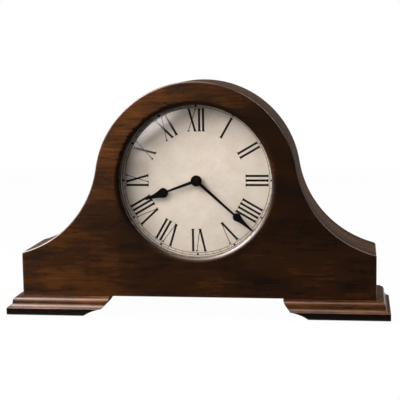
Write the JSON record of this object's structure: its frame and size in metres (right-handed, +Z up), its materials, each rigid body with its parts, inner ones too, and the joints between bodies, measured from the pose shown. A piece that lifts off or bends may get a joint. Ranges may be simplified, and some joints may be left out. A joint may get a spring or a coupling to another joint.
{
  "type": "tambour mantel clock",
  "caption": "Hat-shaped wooden mantel clock on bracket feet, with a domed glass, Roman dial, turning hands, a battery quartz movement and a hinged rear access door.",
  "frame": {"origin": "middle of the bounding box on the surface that the clock stands on", "axes": "+X to the viewer's right, +Y from the dial to the back, +Z up; the dial faces -Y"},
  "size_m": [0.401, 0.1024, 0.2438],
  "materials": {
    "lacquered_wood": "dark cherry brown satin lacquer",
    "plain_board": "bare hardboard",
    "felt": "dark brown felt",
    "clear_glass": "clear domed glass",
    "spacer_card": "brown card",
    "dial_paper": "aged cream print",
    "black_enamel": "satin black",
    "brass": "satin",
    "steel": "plain",
    "black_plastic": "moulded",
    "gear_plastic": "moulded",
    "rubber": "matt",
    "copper_wire": "enamelled copper wire",
    "circuit_laminate": "green laminate",
    "battery_jacket": "plain printed jacket"
  },
  "bodies": {
    "case": {"front_panel": "lacquered_wood", "back_panel": "lacquered_wood", "case_wrap": "lacquered_wood", "left_end_panel": "lacquered_wood", "right_end_panel": "lacquered_wood", "bottom_board": "lacquered_wood", "left_foot_front_moulding": "lacquered_wood", "left_foot_side_moulding": "lacquered_wood", "right_foot_front_moulding": "lacquered_wood", "right_foot_side_moulding": "lacquered_wood", "left_front_felt_pad": "felt", "left_rear_felt_pad": "felt", "right_front_felt_pad": "felt", "right_rear_felt_pad": "felt", "domed_glass": "clear_glass", "dial_spacer_ring": "spacer_card", "dial": "dial_paper", "movement_board": "plain_board", "board_screw_1": "steel", "board_screw_2": "steel", "board_screw_3": "steel", "board_screw_4": "steel", "movement_front_shell": "black_plastic", "movement_middle_plate": "gear_plastic", "movement_rear_shell": "black_plastic", "rubber_washer": "rubber", "brass_washer": "brass", "movement_hex_nut": "brass", "stator_plate": "steel", "coil_core": "steel", "coil_winding": "copper_wire", "circuit_board": "circuit_laminate", "quartz_can": "steel", "battery": "battery_jacket", "battery_contact_positive": "steel", "battery_contact_negative": "steel", "magnet_catch": "black_plastic", "lower_hinge_case_leaf": "brass", "lower_hinge_pin": "brass", "upper_hinge_case_leaf": "brass", "upper_hinge_pin": "brass"},
    "minute_hand_set": {"minute_hand": "black_enamel", "hand_cap_nut": "black_enamel", "minute_arbor": "steel"},
    "hour_hand_set": {"hour_hand": "black_enamel", "hour_wheel": "gear_plastic"},
    "minute_wheel": {"minute_wheel": "gear_plastic"},
    "setting_knob": {"setting_knob": "gear_plastic"},
    "fourth_wheel": {"fourth_wheel": "gear_plastic"},
    "drive_wheel": {"drive_wheel": "gear_plastic"},
    "third_wheel": {"third_wheel": "gear_plastic"},
    "idler_wheel": {"idler_wheel": "gear_plastic"},
    "motor_rotor": {"motor_rotor": "steel"},
    "access_door": {"access_door": "lacquered_wood", "strike_plate": "steel", "door_pull": "brass", "lower_hinge_door_leaf": "brass", "upper_hinge_door_leaf": "brass"}
  },
  "joints": [
    {"name": "minute_hand_turn", "type": "hinge", "parent": "case", "child": "minute_hand_set", "pos_m": [0, -0.02175, 0.1403], "axis": [0, 1, 0], "continuous": true},
    {"name": "hour_hand_turn", "type": "hinge", "parent": "case", "child": "hour_hand_set", "pos_m": [0, -0.02175, 0.1403], "axis": [0, 1, 0], "continuous": true},
    {"name": "minute_wheel_turn", "type": "hinge", "parent": "case", "child": "minute_wheel", "pos_m": [0.00781, -0.00895, 0.14811], "axis": [0, 1, 0], "continuous": true},
    {"name": "setting_knob_turn", "type": "hinge", "parent": "case", "child": "setting_knob", "pos_m": [0.01885, -0.00895, 0.14811], "axis": [0, 1, 0], "continuous": true},
    {"name": "fourth_wheel_turn", "type": "hinge", "parent": "case", "child": "fourth_wheel", "pos_m": [0, -0.00095, 0.1403], "axis": [0, 1, 0], "continuous": true},
    {"name": "drive_wheel_turn", "type": "hinge", "parent": "case", "child": "drive_wheel", "pos_m": [0, -0.00495, 0.1403], "axis": [0, 1, 0], "continuous": true},
    {"name": "third_wheel_turn", "type": "hinge", "parent": "case", "child": "third_wheel", "pos_m": [-0.00649, -0.00295, 0.14679], "axis": [0, 1, 0], "continuous": true},
    {"name": "idler_wheel_turn", "type": "hinge", "parent": "case", "child": "idler_wheel", "pos_m": [0.00653, 0.00005, 0.14683], "axis": [0, 1, 0], "continuous": true},
    {"name": "motor_rotor_turn", "type": "hinge", "parent": "case", "child": "motor_rotor", "pos_m": [0.00653, 0.00205, 0.15411], "axis": [0, 1, 0], "continuous": true},
    {"name": "access_door_hinge", "type": "hinge", "parent": "case", "child": "access_door", "pos_m": [-0.0745, 0.04645, 0.1374], "axis": [0, 0, 1], "range_deg": [0, 110]}
  ],
  "couplings": [
    {"joint": "hour_hand_turn", "follows": "minute_hand_turn", "ratio": 0.083333},
    {"joint": "minute_wheel_turn", "follows": "minute_hand_turn", "ratio": -0.33333},
    {"joint": "setting_knob_turn", "follows": "minute_hand_turn", "ratio": 1},
    {"joint": "drive_wheel_turn", "follows": "fourth_wheel_turn", "ratio": 0.016667},
    {"joint": "third_wheel_turn", "follows": "fourth_wheel_turn", "ratio": -0.125},
    {"joint": "idler_wheel_turn", "follows": "fourth_wheel_turn", "ratio": -5},
    {"joint": "motor_rotor_turn", "follows": "fourth_wheel_turn", "ratio": 30}
  ]
}
